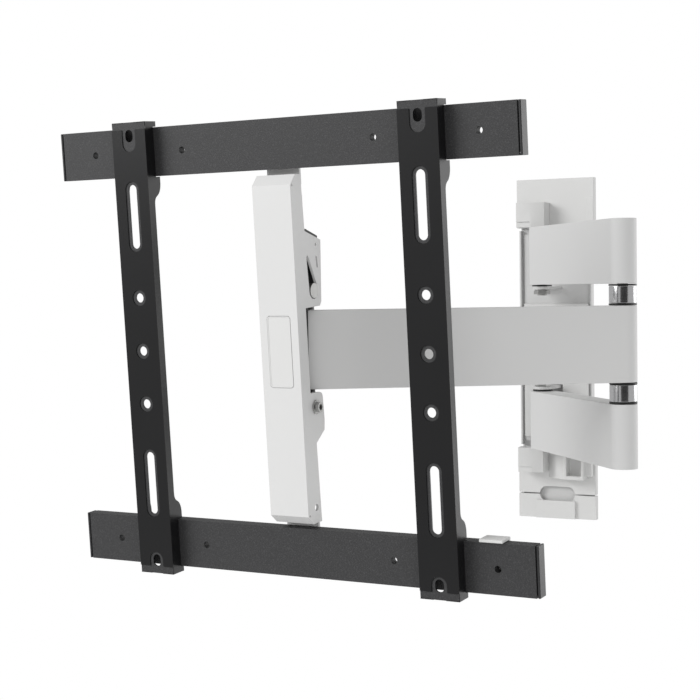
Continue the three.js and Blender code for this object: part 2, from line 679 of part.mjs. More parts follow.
const firstArm = group(PIVOT_X, PIVOT_Y, ARMS_Z, 0, FIRST_ARM_ANGLE,
  ...shortArm("upper", 1),
  ...shortArm("lower", -1),
  ...elbowSpacers("upper", 1),
  ...elbowSpacers("lower", -1),
  elbowSpindle(),
  longArmGroup);

const mount = new THREE.Group();
mount.add(
  wallPlate(),
  hingeBracket(),
  ...wallPivot("upper", 1),
  ...wallPivot("lower", -1),
  upperCover(),
  coverLug("upper_lug", UPPER_COVER_Z, 157.5, -6),
  centreCover(),
  lowerCover(),
  bottomCover(),
  coverLug("lower_lug", -132, LOWER_COVER_Z + 1.5, -9.5),
  accessBox(),
  firstArm);

export default mount;
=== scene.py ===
# %% [markdown]
# # A full motion television wall mount
# A pressed steel plate hangs on the wall, two short arms and one long arm fold out from it, and
# a tilting head carries two dark bars with two black bracket arms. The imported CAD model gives
# every place and size. This lesson gives each part its softened edges and its finish.

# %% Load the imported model
import json
import math

import bmesh
import bpy
from mathutils import Matrix, Vector


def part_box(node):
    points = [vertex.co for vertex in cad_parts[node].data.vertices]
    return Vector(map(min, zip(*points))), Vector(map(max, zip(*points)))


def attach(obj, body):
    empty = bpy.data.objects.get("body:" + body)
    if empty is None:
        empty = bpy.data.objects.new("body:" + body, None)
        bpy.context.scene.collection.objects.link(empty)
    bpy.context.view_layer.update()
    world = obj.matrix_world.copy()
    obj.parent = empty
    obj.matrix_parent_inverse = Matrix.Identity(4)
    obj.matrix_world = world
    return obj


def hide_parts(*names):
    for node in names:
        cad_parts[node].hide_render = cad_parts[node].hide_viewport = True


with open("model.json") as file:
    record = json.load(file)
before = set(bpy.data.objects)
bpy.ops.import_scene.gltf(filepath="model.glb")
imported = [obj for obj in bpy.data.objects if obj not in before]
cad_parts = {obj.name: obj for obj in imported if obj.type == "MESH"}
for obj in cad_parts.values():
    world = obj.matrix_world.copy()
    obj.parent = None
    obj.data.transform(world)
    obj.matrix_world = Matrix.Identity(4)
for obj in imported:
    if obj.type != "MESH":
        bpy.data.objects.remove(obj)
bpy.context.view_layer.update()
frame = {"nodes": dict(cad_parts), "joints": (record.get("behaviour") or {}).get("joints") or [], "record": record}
nodes = frame["nodes"]
record = frame["record"]
bodies = record["behaviour"]["bodies"]
body_of = {name: body for body, names in bodies.items() for name in names}
slot_of = {part["node"]: part["material_slot"] for part in record["subparts"]}

# %% [markdown]
# ## Where things are
# The head is turned and tilted, so numbers along it are easiest in its own axes: x across, y
# towards the wall, z up, with the origin in the middle of the bracket arms' front faces. The two
# points where a television rests give that frame. The joints give the arms' pivots.

# %% The television plate's own axes
MM = 0.001
mounts = {mount["name"]: mount for mount in record["mounts"]}
left_face = Vector(mounts["tv_face_left"]["pos_m"])
right_face = Vector(mounts["tv_face_right"]["pos_m"])
across = (right_face - left_face).normalized()
inward = -Vector(mounts["tv_face_left"]["axis"]).normalized()
upward = across.cross(inward)
FACE_HEIGHT = 75 * MM
plate_origin = (left_face + right_face) / 2 - FACE_HEIGHT * upward
plate_axes = Matrix((across, inward, upward)).transposed().to_4x4()
plate = Matrix.Translation(plate_origin) @ plate_axes
joint_at = {joint["name"]: Vector(joint["pos_m"]) for joint in frame["joints"] if "pos_m" in joint}
print("plate origin", [round(value, 4) for value in plate_origin])

# %% [markdown]
# ## Camera
# A product view from the right and a little above, with a long lens so that the bars stay
# nearly parallel. The camera is placed from the plate's origin along its own three directions.

# %% Place the camera
AZIMUTH, PITCH, ROLL = (math.radians(angle) for angle in (26.94, 2.23, -0.75))
DISTANCE, ASIDE, ABOVE = 1.4149, 0.06417, 0.00154
LENS, SENSOR = 81.81, 36
forward = Vector((
    -math.sin(AZIMUTH) * math.cos(PITCH),
    math.cos(AZIMUTH) * math.cos(PITCH),
    -math.sin(PITCH)))
level = Vector((math.cos(AZIMUTH), math.sin(AZIMUTH), 0))
upright = level.cross(forward)
camera_data = bpy.data.cameras.new("camera")
camera_data.lens, camera_data.sensor_width = LENS, SENSOR
camera = bpy.data.objects.new("camera", camera_data)
bpy.context.scene.collection.objects.link(camera)
rolled_right = level * math.cos(ROLL) + upright * math.sin(ROLL)
rolled_up = upright * math.cos(ROLL) - level * math.sin(ROLL)
turn = Matrix((rolled_right, rolled_up, -forward)).transposed().to_4x4()
spot = plate_origin - DISTANCE * forward + ASIDE * level + ABOVE * upright
camera.matrix_world = Matrix.Translation(spot) @ turn
bpy.context.scene.camera = camera
print("camera at", [round(value, 3) for value in spot])

# %% [markdown]
# ## Shader maths as expressions
# Each finish is a small sum of patterns. A thin wrapper round a node's socket lets a finish be
# written as `1 - spots * 0.2`, and each operator adds its own Math node. Any other node comes
# from one method, which takes the node's settings first and then its sockets.

# %% A socket that can be used in an expression
class Wire:
    def __init__(self, tree, socket):
        self.tree = tree
        self.socket = socket

    def node(self, kind, settings=(), sockets=(), out=0):
        made = self.tree.nodes.new(kind)
        for name, value in dict(settings).items():
            if name == "stops":
                first, last = made.color_ramp.elements
                for element, (place, tone) in zip((first, last), value):
                    element.position, element.color = place, (tone, tone, tone, 1)
            else:
                setattr(made, name, value)
        for name, value in dict(sockets).items():
            if isinstance(value, Wire):
                self.tree.links.new(value.socket, made.inputs[name])
            else:
                made.inputs[name].default_value = value
        return Wire(self.tree, made.outputs[out])

    def math(self, operation, first, second):
        return self.node("ShaderNodeMath", {"operation": operation}, {0: first, 1: second})

    def __add__(self, other):
        return self.math("ADD", self, other)

    def __mul__(self, other):
        return self.math("MULTIPLY", self, other)

    def __sub__(self, other):
        return self.math("SUBTRACT", self, other)

    def __rsub__(self, other):
        return self.math("SUBTRACT", other, self)

    __radd__ = __add__
    __rmul__ = __mul__


# %% Patterns that the finishes share
def noise(place, scale, detail=2.0, roughness=0.5):
    sockets = {"Vector": place, "Scale": scale, "Detail": detail, "Roughness": roughness}
    return place.node("ShaderNodeTexNoise", (), sockets)


def ramp(value, start, end):
    return value.node("ShaderNodeValToRGB", {"stops": (start, end)}, {"Fac": value})


def blend(factor, first, second):
    """A Mix node set to colour keeps its factor on input 0, and its colours on inputs 6 and 7."""
    sockets = {0: factor, 6: (*first, 1), 7: (*second, 1)}
    return factor.node("ShaderNodeMix", {"data_type": "RGBA"}, sockets, out=2)


# %% Start a finish and close it
def begin(name):
    material = bpy.data.materials.new(name)
    material.use_nodes = True
    coordinates = material.node_tree.nodes.new("ShaderNodeTexCoord")
    return material, Wire(material.node_tree, coordinates.outputs["Object"])


def close(material, colour, roughness, height=None, strength=0.2, depth=0.0001, **fixed):
    shader = material.node_tree.nodes["Principled BSDF"]
    links = material.node_tree.links
    links.new(colour.socket, shader.inputs["Base Color"])
    links.new(roughness.socket, shader.inputs["Roughness"])
    if height:
        sockets = {"Height": height, "Strength": strength, "Distance": depth}
        bumped = height.node("ShaderNodeBump", (), sockets)
        links.new(bumped.socket, shader.inputs["Normal"])
    for name, value in fixed.items():
        shader.inputs[name.replace("_", " ")].default_value = value
    return material


# %% [markdown]
# ## Light finishes
# The arms, the wall plate and the head are steel with a light grey powder coat. It melts into a
# skin with a very fine orange peel, and it varies a little from place to place. The covers are
# moulded plastic in the same grey, a shade warmer and spark eroded rather than peeled.

# %% Light powder coat and light moulding
def light_powder_coat():
    material, place = begin("light_powder_coat")
    cloud = noise(place, 9, 3)
    peel = noise(place, 900, 3, 0.6)
    speck = noise(place, 2600, 1)
    tone = cloud * 0.5 + speck * 0.5
    colour = blend(tone, (0.630, 0.630, 0.626), (0.670, 0.670, 0.666))
    return close(
        material, colour, 0.40 + peel * 0.16, peel * 0.7 + speck * 0.3,
        strength=0.16, depth=0.00012, Specular_IOR_Level=0.45)


def light_moulding():
    material, place = begin("light_moulding")
    cloud = noise(place, 14, 2)
    spark = noise(place, 1700, 4, 0.7)
    colour = blend(cloud * 0.6 + spark * 0.4, (0.630, 0.630, 0.622), (0.664, 0.664, 0.658))
    return close(
        material, colour, 0.50 + spark * 0.14, spark,
        strength=0.12, depth=0.0001, Specular_IOR_Level=0.4)


# %% [markdown]
# ## Dark finishes
# The bars wear a coarse structured powder coat: dark grey with paler grains that catch the
# light. The bracket arms are satin black and much smoother. Washers are black acetal.

# %% Structured dark grey, satin black and acetal
def structured_coat():
    material, place = begin("structured_dark_coat")
    grain = noise(place, 620, 4, 0.7)
    fleck = ramp(noise(place, 1150, 2, 0.6), (0.50, 0.0), (0.68, 1.0))
    colour = blend(fleck * 0.7 + grain * 0.3, (0.024, 0.024, 0.025), (0.066, 0.066, 0.068))
    return close(
        material, colour, 0.46 + grain * 0.2, grain + fleck * 0.5,
        strength=0.55, depth=0.00018, Specular_IOR_Level=0.4)


def dark_moulding():
    material, place = begin("dark_moulding")
    spark = noise(place, 1500, 3, 0.6)
    colour = blend(spark, (0.016, 0.016, 0.017), (0.026, 0.026, 0.027))
    return close(material, colour, 0.30 + spark * 0.1, spark, strength=0.12)


def satin_black():
    material, place = begin("satin_black_coat")
    peel = noise(place, 700, 3, 0.6)
    cloud = noise(place, 12, 2)
    colour = blend(cloud, (0.0065, 0.0065, 0.0070), (0.0090, 0.0090, 0.0096))
    return close(
        material, colour, 0.26 + peel * 0.1, peel,
        strength=0.10, depth=0.00012, Specular_IOR_Level=0.33)


def black_acetal():
    material, place = begin("black_acetal")
    turned = noise(place, 1400, 2)
    colour = blend(turned, (0.008, 0.008, 0.008), (0.014, 0.014, 0.014))
    return close(material, colour, 0.38 + turned * 0.1, turned, strength=0.1)


# %% [markdown]
# ## Bare metal and nylon
# The elbow spacers are turned and chromed: a mirror with faint lines round it. A Mapping node
# squeezes the noise along the axis so that it turns into rings. Pins, bolts and nuts are zinc
# plated, which is duller and a little cloudy. The bushes are natural nylon.

# %% Chrome, zinc and nylon
def chrome():
    material, place = begin("turned_chrome")
    stretched = place.node("ShaderNodeMapping", (), {"Vector": place, "Scale": (2, 2, 900)})
    lines = noise(stretched, 1.6, 2)
    colour = blend(lines, (0.66, 0.66, 0.67), (0.74, 0.74, 0.75))
    return close(
        material, colour, 0.16 + lines * 0.08, lines, strength=0.08, depth=0.00004, Metallic=1.0)


def zinc():
    material, place = begin("zinc_plate")
    cloud = noise(place, 160, 3, 0.6)
    fine = noise(place, 1500, 2)
    colour = blend(cloud, (0.42, 0.42, 0.41), (0.56, 0.56, 0.55))
    return close(
        material, colour, 0.36 + cloud * 0.14, cloud * 0.5 + fine * 0.5,
        strength=0.12, depth=0.00006, Metallic=1.0)


def nylon():
    material, place = begin("natural_nylon")
    cloud = noise(place, 60, 2)
    colour = blend(cloud, (0.70, 0.69, 0.64), (0.78, 0.77, 0.72))
    return close(material, colour, 0.45 + cloud * 0.1, cloud, strength=0.05)


finishes = {
    "light_paint": light_powder_coat(),
    "light_plastic": light_moulding(),
    "dark_paint": structured_coat(),
    "dark_plastic": dark_moulding(),
    "black_paint": satin_black(),
    "black_plastic": black_acetal(),
    "chrome": chrome(),
    "zinc": zinc(),
    "nylon": nylon(),
}
print("finishes:", ", ".join(sorted(finishes)))

# %% [markdown]
# ## Softening a pressed or moulded part
# A CAD solid has knife edges, and nothing real does: a bent sheet has a fold radius, a moulding
# has a small one, and paint rounds the rest. One function takes a merged mesh, gives every
# sharp edge a weight, and lets a Bevel modifier round it. Folds get a larger weight.

# %% Rounding helpers
SHARP = math.radians(32)


def merged(*names):
    mesh = bmesh.new()
    for name in names:
        mesh.from_mesh(nodes[name].data)
    bmesh.ops.remove_doubles(mesh, verts=mesh.verts, dist=2e-6)
    bmesh.ops.dissolve_limit(
        mesh, angle_limit=math.radians(0.5), verts=mesh.verts, edges=mesh.edges)
    return mesh


def weigh_edges(mesh, edge, fold, is_fold):
    layer = mesh.edges.layers.float.new("bevel_weight_edge")
    for line in mesh.edges:
        if len(line.link_faces) == 2 and line.calc_face_angle(0) > SHARP:
            line[layer] = 1 if is_fold and is_fold(line) else edge / fold


def plain_object(name, mesh):
    data = bpy.data.meshes.new(name)
    mesh.to_mesh(data)
    mesh.free()
    for extra in ("custom_normal", "UVMap"):
        if extra in data.attributes:
            data.attributes.remove(data.attributes[extra])
    made = bpy.data.objects.new(name, data)
    bpy.context.scene.collection.objects.link(made)
    return made


def applied(made):
    """Turns an object with modifiers into a plain mesh of the same name."""
    view = bpy.context.evaluated_depsgraph_get()
    data = bpy.data.meshes.new_from_object(made.evaluated_get(view))
    made.modifiers.clear()
    made.data = data
    return made


def softened(name, mesh, edge, fold=0.0, is_fold=None, place=None, segments=3):
    """Rounds a solid. With `place`, the mesh and its radii are in millimetres till then."""
    fold = max(fold, edge)
    weigh_edges(mesh, edge, fold, is_fold)
    if place:
        bmesh.ops.transform(mesh, matrix=place @ Matrix.Scale(MM, 4), verts=mesh.verts)
        fold *= MM
    made = plain_object(name, mesh)
    made.data.shade_smooth()
    rounding = made.modifiers.new("round", "BEVEL")
    rounding.limit_method, rounding.width = "WEIGHT", fold
    rounding.segments, rounding.use_clamp_overlap = segments, True
    normals = made.modifiers.new("normals", "WEIGHTED_NORMAL")
    normals.keep_sharp = True
    return applied(made)


# %% Hand a finished piece to its body
def dress(made, names, finish=None):
    first = names[0]
    made.data.materials.clear()
    made.data.materials.append(finish or finishes[slot_of[first]])
    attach(made, body_of[first])
    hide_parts(*names)
    return made


# %% [markdown]
# ## Pressed steel and mouldings
# Most parts keep the shape that the CAD model gives them and need only their edges rounded. A
# table says how much: about half a millimetre for paint on a cut edge, a little more for a
# moulded cover, and less for the small pins.

# %% Round the plain parts
EDGE = {
    "wall_plate": 0.5, "hinge_bracket": 0.6, "upper_cover": 0.6, "upper_lug": 0.9,
    "centre_cover": 0.7, "lower_cover": 0.6, "bottom_cover": 0.6, "lower_lug": 0.9,
    "access_box": 0.8,
    "swivel_bracket": 0.6, "bar_tongue_top": 0.5, "bar_tongue_bottom": 0.5, "cable_clip": 0.6,
    "top_bar_cap_left": 0.6, "top_bar_cap_right": 0.6, "bottom_bar_cap_left": 0.6,
    "bottom_bar_cap_right": 0.6, "tilt_pin": 0.4, "swivel_pin": 0.4, "elbow_spindle": 0.4,
    "wall_spindle_upper": 0.4, "wall_spindle_lower": 0.4, "tie_tube": 0.3,
}
for name in sorted(nodes):
    width = EDGE.get(name, 0.3 if "_bush" in name else None)
    if width:
        made = softened(f"{name}_rounded", merged(name), width * MM)
        dress(made, [name])
        print(name, len(made.data.polygons), "faces")

# %% [markdown]
# ## Solids from outlines
# The bracket arms, the bars and the head are drawn again here, because their folds, holes and
# dishes show at a close look. An outline is extruded to a prism, and an exact Boolean cuts one
# solid with the others. It all happens in the plate's own millimetres.

# %% Prisms and cuts
def circle(u, v, radius, count=40):
    turns = [2 * math.pi * step / count for step in range(count)]
    return [(u + radius * math.cos(a), v + radius * math.sin(a)) for a in turns]


def slot_outline(u, low, high, radius, count=20):
    top = [math.pi * step / count for step in range(count + 1)]
    upper = [(u + radius * math.cos(a), high + radius * math.sin(a)) for a in top]
    lower = [(u - radius * math.cos(a), low - radius * math.sin(a)) for a in top]
    return upper + lower


PLACES = {
    "x": lambda u, v, w: (w, u, v),
    "y": lambda u, v, w: (u, w, v),
    "z": lambda u, v, w: (u, v, w),
}


def prism(outline, axis, start, end):
    """An outline pulled along an axis, as a closed solid."""
    mesh = bmesh.new()
    place = PLACES[axis]
    first = [mesh.verts.new(place(u, v, start)) for u, v in outline]
    last = [mesh.verts.new(place(u, v, end)) for u, v in outline]
    mesh.faces.new(first)
    mesh.faces.new(last)
    for step, corner in enumerate(first):
        after = (step + 1) % len(first)
        mesh.faces.new((corner, first[after], last[after], last[step]))
    bmesh.ops.recalc_face_normals(mesh, faces=mesh.faces)
    return plain_object("prism", mesh)


def carve(base, tools, operation="DIFFERENCE"):
    """Cuts the base with every tool, or adds or overlaps them, and uses the tools up."""
    for tool in tools:
        step = base.modifiers.new("carve", "BOOLEAN")
        step.operation, step.solver, step.object = operation, "EXACT", tool
    applied(base)
    for tool in tools:
        bpy.data.objects.remove(tool)
    return base


def taken(made):
    """The object's mesh as a bmesh, merged and with flat regions in one piece."""
    mesh = bmesh.new()
    mesh.from_mesh(made.data)
    bpy.data.objects.remove(made)
    bmesh.ops.remove_doubles(mesh, verts=mesh.verts, dist=0.002)
    bmesh.ops.dissolve_limit(
        mesh, angle_limit=math.radians(0.5), verts=mesh.verts, edges=mesh.edges)
    return mesh


# %% [markdown]
# ## Bracket arms
# Each bracket arm is a satin black steel channel whose sides hook over both bars. Its holes and
# slots sit in shallow dishes, and its two ends are a step lower. The floors of the dishes and
# steps wear the bars' paler structured coat as a painted highlight, for the light their sloped
# walls catch. They are thin plates cut from the same outlines as the dishes, so the two always fit.

# %% The bracket arm's outlines
ARM_END, ARM_HALF, SHEET = 212.5, 19.0, 2.5
HOLE_AT, HOLE_RADIUS = (-50, 0, 50), 4.4
SLOT_AT, SLOT_HALF, SLOT_RADIUS = (-125.5, 125.5), 25, 4.6
END_AT, END_HALF, END_RADIUS = (-200, 200), 1.5, 4.2
DISH, DISH_RADIUS, FLOOR, FLOOR_GAP = 0.9, 7.5, 0.1, 0.15
END_STEP, TOP_DISH, LOW_DISH = 205.5, (193, 208), (-208, -199.5)
THROUGH, BEYOND = (-5, 40), 300
HOOK = [
    (0, ARM_END), (17, ARM_END), (17, 207.6), (12.7, 207.6),
    (12.7, 161.4), (19, 161.4), (19, 155),
]


def bend(start, pull, end, count=6):
    """Points along a curve from start to end that is drawn towards `pull`."""
    points = []
    for step in range(1, count + 1):
        t = step / count
        points.append(tuple(
            (1 - t) ** 2 * a + 2 * t * (1 - t) * b + t * t * c
            for a, b, c in zip(start, pull, end)))
    return points


def arm_side():
    upper = HOOK + bend((19, 155), (18.5, 146.5), (12.5, 143.5))
    upper += bend((12.5, 143.5), (9, 141.5), (9, 136))
    return upper + [(y, -z) for y, z in reversed(upper)]


def rectangle(half, low, high):
    return [(-half, low), (half, low), (half, high), (-half, high)]


def holes():
    outlines = [circle(0, z, HOLE_RADIUS) for z in HOLE_AT]
    outlines += [slot_outline(0, z - SLOT_HALF, z + SLOT_HALF, SLOT_RADIUS) for z in SLOT_AT]
    outlines += [slot_outline(0, z - END_HALF, z + END_HALF, END_RADIUS) for z in END_AT]
    return [prism(outline, "y", *THROUGH) for outline in outlines]


def dishes(gap=0.0):
    """The cutters of the dishes and end steps. With a gap they are deep and a little smaller,
    to cut the paler floors, a painted highlight, that lie in them."""
    half, end = ARM_HALF + 1 - 10 * gap, ARM_END - gap
    deep = THROUGH[1] if gap else DISH
    slots = [(z - SLOT_HALF, z + SLOT_HALF) for z in SLOT_AT] + [TOP_DISH, LOW_DISH]
    steps = ((END_STEP + gap, end), (-end, -END_STEP - gap))
    outlines = [circle(0, z, DISH_RADIUS - gap) for z in HOLE_AT]
    outlines += [slot_outline(0, low, high, DISH_RADIUS - gap) for low, high in slots]
    outlines += [rectangle(half, low, high) for low, high in steps]
    return [prism(outline, "y", THROUGH[0], deep) for outline in outlines]


# %% Build both bracket arms
def front_fold(line):
    ends = [vertex.co for vertex in line.verts]
    along = abs(ends[0].z - ends[1].z) > 0.9 * (ends[0] - ends[1]).length
    return along and all(abs(end.y) < 1.2 and abs(end.x) > ARM_HALF - 0.5 for end in ends)


def steel_channel():
    hollow = prism(rectangle(ARM_HALF - SHEET, SHEET, THROUGH[1]), "z", -BEYOND, BEYOND)
    tools = [hollow] + holes() + dishes()
    return taken(carve(prism(arm_side(), "x", -ARM_HALF, ARM_HALF), tools))


# Thin paler plates in the dishes and end steps: a painted highlight for the light on their slopes.
def painted_highlight_floors():
    whole = prism(rectangle(ARM_HALF, -ARM_END, ARM_END), "y", DISH - FLOOR, DISH)
    first, *others = dishes(FLOOR_GAP)
    carve(whole, [carve(first, others, "UNION")], "INTERSECT")
    return taken(carve(whole, holes()))


CUT_EDGE, FRONT_FOLD = 0.3, 2.2
for side, x in (("left", -150), ("right", 150)):
    place = plate @ Matrix.Translation((x * MM, 0, 0))
    node = f"bracket_arm_{side}"
    channel = steel_channel()
    steel = softened(f"{node}_steel", channel, CUT_EDGE, FRONT_FOLD, front_fold, place, 4)
    dress(steel, [node])
    # The floors' paler coat is a painted highlight on the dishes and end steps.
    floors = softened(f"{node}_painted_highlight_floors", painted_highlight_floors(), 0.02, place=place)
    floors.data.materials.append(finishes["dark_paint"])
    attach(floors, body_of[node])
    print(node, len(steel.data.polygons), "and", len(floors.data.polygons), "faces")

# %% [markdown]
# ## Bars
# A bar is a shallow rolled channel, open at the back, with a row of small holes. A threaded
# insert stands behind each hole, so the holes look deep. The rolled edges are rounder than the
# cut ones.

# %% Build both bars
BAR_FRONT, BAR_DEPTH, BAR_SHEET, BAR_HEIGHT = 13.0, 12.0, 2.2, 45.0
BAR_LEFT, BAR_RIGHT, BAR_LOW = -237.6, 234.6, 162.0
HOLE, INSERT, INSERT_BACK = 3.2, 4.6, 21.6
HOLES_ALONG = (-200, -150, -100, 100, 150, 200)


def rolled_edge(line):
    ends = [vertex.co for vertex in line.verts]
    return all(abs(end.y - BAR_FRONT) < 0.1 for end in ends) and abs(ends[0].z - ends[1].z) < 0.1


for name, low in (("top_bar", BAR_LOW), ("bottom_bar", -BAR_LOW - BAR_HEIGHT)):
    high, back = low + BAR_HEIGHT, BAR_FRONT + BAR_DEPTH
    section = [(BAR_FRONT, low), (back, low), (back, high), (BAR_FRONT, high)]
    skin = BAR_FRONT + BAR_SHEET
    inside = [
        (skin, low + BAR_SHEET), (BEYOND, low + BAR_SHEET),
        (BEYOND, high - BAR_SHEET), (skin, high - BAR_SHEET)]
    solid = prism(section, "x", BAR_LEFT, BAR_RIGHT)
    carve(solid, [prism(inside, "x", -BEYOND, BEYOND)])
    inserts, drills = (
        [circle(x, low + BAR_HEIGHT / 2, radius, 28) for x in HOLES_ALONG]
        for radius in (INSERT, HOLE))
    carve(solid, [prism(ring, "y", BAR_FRONT + 0.5, INSERT_BACK) for ring in inserts], "UNION")
    carve(solid, [prism(ring, "y", 0, THROUGH[1]) for ring in drills])
    made = softened(f"{name}_coated", taken(solid), 0.35, 1.0, rolled_edge, plate)
    dress(made, [name])
    print(made.name, len(made.data.polygons), "faces")

# %% [markdown]
# ## Arms
# An arm is an extrusion with round ends, and a flat plastic cover is let into each end face, so
# that only a fine line shows it. The three arms are one shape at three lengths and places. Each
# is drawn along x from its own pivot and then turned about the vertical to where it rests.

# %% Draw an extruded arm and its end covers
ARM_RADIUS, COVER_RIM, COVER_DEPTH = 13.19, 1.7, 1.4
SIDE_GAP, DEPTH_GAP = 0.2, 0.1


def arm_outline(length, radius, count=32):
    half = [math.pi * (step / count - 0.5) for step in range(count + 1)]
    far = [(length + radius * math.cos(a), radius * math.sin(a)) for a in half]
    near = [(-radius * math.cos(a), -radius * math.sin(a)) for a in half]
    return far + near


def arm(length, low, high):
    """The extrusion and its two covers, each as a mesh along x in millimetres."""
    tube = prism(arm_outline(length, ARM_RADIUS), "z", low, high)
    opening = arm_outline(length, ARM_RADIUS - COVER_RIM)
    carve(tube, [
        prism(opening, "z", low - 1, low + COVER_DEPTH),
        prism(opening, "z", high - COVER_DEPTH, high + 1)])
    inset = arm_outline(length, ARM_RADIUS - COVER_RIM - SIDE_GAP)
    covers = [
        prism(inset, "z", low + DEPTH_GAP, low + COVER_DEPTH - DEPTH_GAP),
        prism(inset, "z", high - COVER_DEPTH + DEPTH_GAP, high - DEPTH_GAP)]
    return taken(tube), [taken(cover) for cover in covers]


# %% Place the three arms
ARMS = {
    "upper_arm": ("wall_swivel", "elbow", ["upper_arm_inner_cover", "upper_arm_outer_cover"]),
    "lower_arm": ("wall_swivel", "elbow", ["lower_arm_outer_cover", "lower_arm_inner_cover"]),
    "long_arm": ("elbow", "head_swivel", ["long_arm_lower_cover", "long_arm_upper_cover"]),
}
for name, (near, far, cover_names) in ARMS.items():
    start, end = joint_at[near], joint_at[far]
    heading = math.atan2(end.y - start.y, end.x - start.x)
    place = Matrix.Translation((start.x, start.y, 0)) @ Matrix.Rotation(heading, 4, "Z")
    corners = [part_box(cover) for cover in cover_names]
    low, high = corners[0][0].z / MM, corners[1][1].z / MM
    tube, covers = arm((end - start).length / MM, low, high)
    made = softened(f"{name}_extrusion", tube, 0.5, place=place)
    dress(made, [name])
    for cover_name, cover in zip(cover_names, covers):
        dress(softened(f"{cover_name}_inset", cover, 0.25, place=place), [cover_name])
    print(made.name, len(made.data.polygons), "faces")

# %% [markdown]
# ## Head channel
# The head is one folded sheet. Its long front edges and the slanted ends are bends with a
# radius of about the sheet's thickness; the keyhole, slit and holes are punched and stay crisp.
# A copy of the CAD mesh is turned back into the plate's own axes to tell bends from cuts.

# %% Round the head's folds
HEAD_FRONT, HEAD_HALF, HEAD_SLANT, NEAR = 4.0, 20.0, 147, 0.3
HEAD_CUT, HEAD_FOLD = 0.35, 1.6
into_plate = plate.inverted()


def head_fold(line):
    """True for an edge in the front face that runs along a side or bends back at an end."""
    ends = [into_plate @ vertex.co / MM for vertex in line.verts]
    if any(abs(end.y - HEAD_FRONT) >= NEAR for end in ends):
        return False
    long_bend = all(abs(end.x) > HEAD_HALF - NEAR for end in ends)
    return long_bend or all(abs(end.z) > HEAD_SLANT for end in ends)


sheet = merged("head_channel")
made = softened("head_channel_folded", sheet, HEAD_CUT * MM, HEAD_FOLD * MM, head_fold)
dress(made, ["head_channel"])
print(made.name, len(made.data.polygons), "faces")

# %% [markdown]
# ## Badge
# A blank plastic badge is let into the head's front. It is a thin plate with round corners,
# a fine raised border and a small gap round it.

# %% Build the badge
def rounded(half_width, half_height, radius, count=8):
    points = []
    corners = [(1, 1, 0), (-1, 1, 90), (-1, -1, 180), (1, -1, 270)]
    for side, level_sign, begin_angle in corners:
        for step in range(count + 1):
            angle = math.radians(begin_angle + 90 * step / count)
            points.append((
                side * (half_width - radius) + radius * math.cos(angle),
                level_sign * (half_height - radius) + radius * math.sin(angle)))
    return points


solid = prism(rounded(12, 32, 2.8), "y", HEAD_FRONT - 0.3, HEAD_FRONT + 1.0)
groove = prism(rounded(11, 31, 2.0), "y", 0, HEAD_FRONT - 0.05)
made = softened("head_badge_blank", taken(carve(solid, [groove])), 0.1, place=plate)
dress(made, ["head_badge"])
print(made.name, len(made.data.polygons), "faces")

# %% [markdown]
# ## Rings by Geometry Nodes
# Washers and spacers are the same thing at different sizes: a ring with a small chamfer. One
# tree sweeps a filleted rectangle round a circle and sets a ring on each point of its object.
# It ends by realizing the instances and setting the material, so the result is a plain mesh.

# %% A tree that sets a ring on every point
def new_tree(name, sizes):
    tree = bpy.data.node_groups.new(name, "GeometryNodeTree")
    ports = tree.interface
    ports.new_socket("Geometry", in_out="INPUT", socket_type="NodeSocketGeometry")
    for label, value in sizes.items():
        port = ports.new_socket(label, in_out="INPUT", socket_type="NodeSocketFloat")
        port.default_value = value
    ports.new_socket("Material", in_out="INPUT", socket_type="NodeSocketMaterial")
    ports.new_socket("Geometry", in_out="OUTPUT", socket_type="NodeSocketGeometry")
    entry = tree.nodes.new("NodeGroupInput")
    return tree, {socket.name: Wire(tree, socket) for socket in entry.outputs if socket.name}


def end_tree(tree, ports, shape, turn=None):
    sockets = {"Points": ports["Geometry"], "Instance": shape}
    if turn:
        sockets["Rotation"] = turn
    placed = shape.node("GeometryNodeInstanceOnPoints", (), sockets)
    real = placed.node("GeometryNodeRealizeInstances", (), {"Geometry": placed})
    painted = {"Geometry": real, "Material": ports["Material"]}
    last = real.node("GeometryNodeSetMaterial", (), painted)
    tree.links.new(last.socket, tree.nodes.new("NodeGroupOutput").inputs[0])
    return tree


def ring_tree():
    sizes = {"Outer": 0.013, "Bore": 0.005, "Height": 0.002, "Chamfer": 0.0003}
    tree, ports = new_tree("ring", sizes)
    outer, bore = ports["Outer"], ports["Bore"]
    middle = {"Resolution": 96, "Radius": (outer + bore) * 0.5}
    path = outer.node("GeometryNodeCurvePrimitiveCircle", (), middle)
    sides = {"Width": outer - bore, "Height": ports["Height"]}
    section = outer.node("GeometryNodeCurvePrimitiveQuadrilateral", (), sides)
    soft = {"Curve": section, "Radius": ports["Chamfer"], "Count": 4}
    section = outer.node("GeometryNodeFilletCurve", {"mode": "POLY"}, soft)
    sweep = {"Curve": path, "Profile Curve": section, "Fill Caps": False}
    return end_tree(tree, ports, outer.node("GeometryNodeCurveToMesh", (), sweep))


# %% Grow a mesh from a tree
def grown(name, points, tree, values):
    data = bpy.data.meshes.new(name)
    data.from_pydata(points, [], [])
    made = bpy.data.objects.new(name, data)
    bpy.context.scene.collection.objects.link(made)
    growth = made.modifiers.new("grow", "NODES")
    growth.node_group = tree
    for port in tree.interface.items_tree:
        if port.in_out == "INPUT" and port.name in values:
            growth[port.identifier] = values[port.name]
    applied(made)
    made.data.shade_smooth()
    made.data.set_sharp_from_angle(angle=SHARP)
    return made


